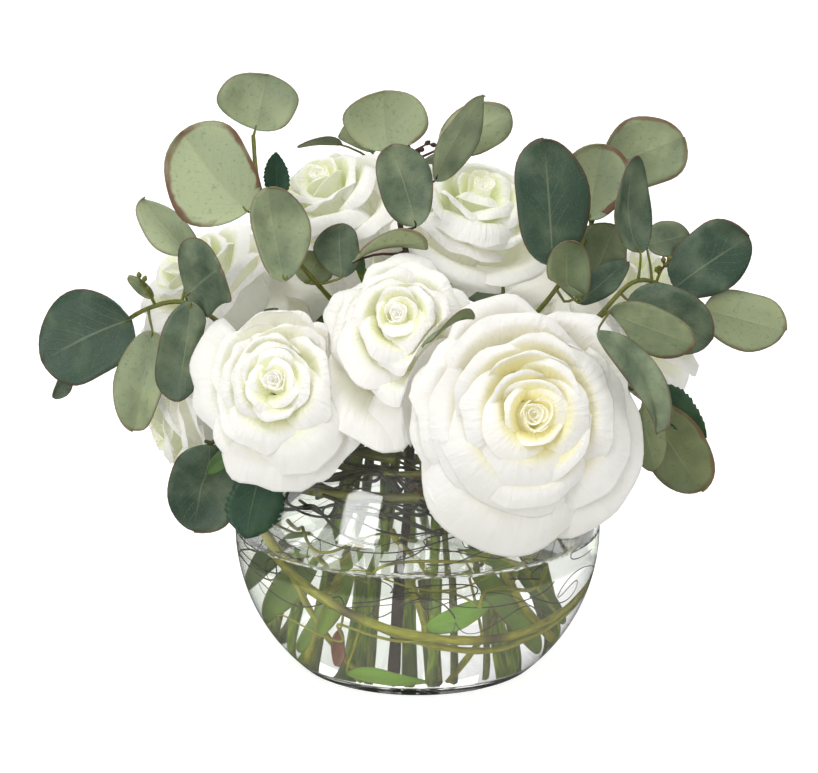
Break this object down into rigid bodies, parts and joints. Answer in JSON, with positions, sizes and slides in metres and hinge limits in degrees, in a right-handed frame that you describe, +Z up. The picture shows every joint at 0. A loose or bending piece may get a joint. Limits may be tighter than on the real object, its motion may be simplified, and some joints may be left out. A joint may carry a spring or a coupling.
{
  "type": "floral table centerpiece",
  "caption": "Low rounded arrangement of white roses and silver-dollar eucalyptus standing in set water in a clear glass bubble bowl, with a vine coiled inside the glass.",
  "frame": {"origin": "centre of the bowl's flat underside", "axes": "+Z up, -Y is the front of the arrangement, +X to the right as seen from the front and along its longest side"},
  "size_m": [0.3974, 0.3024, 0.328],
  "materials": {
    "bowl_glass": "clear, thin, polished, with a fire-rounded rim",
    "set_water": "clear set resin that stands for still water, with a flat shiny surface",
    "petal": "soft white with rolled rims, cream to lime green in the heart",
    "rose_green": "satin leaf green stem, cup and sepals",
    "eucalyptus_dark": "matt blue-green leaves with pale ribs and dark red-brown margins",
    "eucalyptus_pale": "matt sage-green leaves with pale ribs and pink-brown margins",
    "vine": "olive to yellow-green bark with brown nodes"
  },
  "bodies": {
    "root": {"glass_bowl": "bowl_glass", "water": "set_water", "rose_front_right_bloom": "petal", "rose_front_right_stem": "rose_green", "rose_front_centre_bloom": "petal", "rose_front_centre_stem": "rose_green", "rose_front_left_bloom": "petal", "rose_front_left_stem": "rose_green", "rose_top_right_bloom": "petal", "rose_top_right_stem": "rose_green", "rose_top_left_bloom": "petal", "rose_top_left_stem": "rose_green", "rose_left_bloom": "petal", "rose_left_stem": "rose_green", "rose_right_bloom": "petal", "rose_right_stem": "rose_green", "rose_low_left_bloom": "petal", "rose_low_left_stem": "rose_green", "rose_back_centre_bloom": "petal", "rose_back_centre_stem": "rose_green", "rose_back_left_bloom": "petal", "rose_back_left_stem": "rose_green", "rose_back_right_bloom": "petal", "rose_back_right_stem": "rose_green", "eucalyptus_left": "eucalyptus_dark", "eucalyptus_upper_left": "eucalyptus_pale", "eucalyptus_top": "eucalyptus_dark", "eucalyptus_upper_right": "eucalyptus_dark", "eucalyptus_right": "eucalyptus_dark", "eucalyptus_low_right": "eucalyptus_pale", "eucalyptus_low_left": "eucalyptus_dark", "eucalyptus_back_top": "eucalyptus_pale", "eucalyptus_back_left": "eucalyptus_pale", "eucalyptus_back_right": "eucalyptus_dark", "eucalyptus_side_left": "eucalyptus_dark", "eucalyptus_side_right": "eucalyptus_pale", "vine": "vine"}
  },
  "joints": []
}
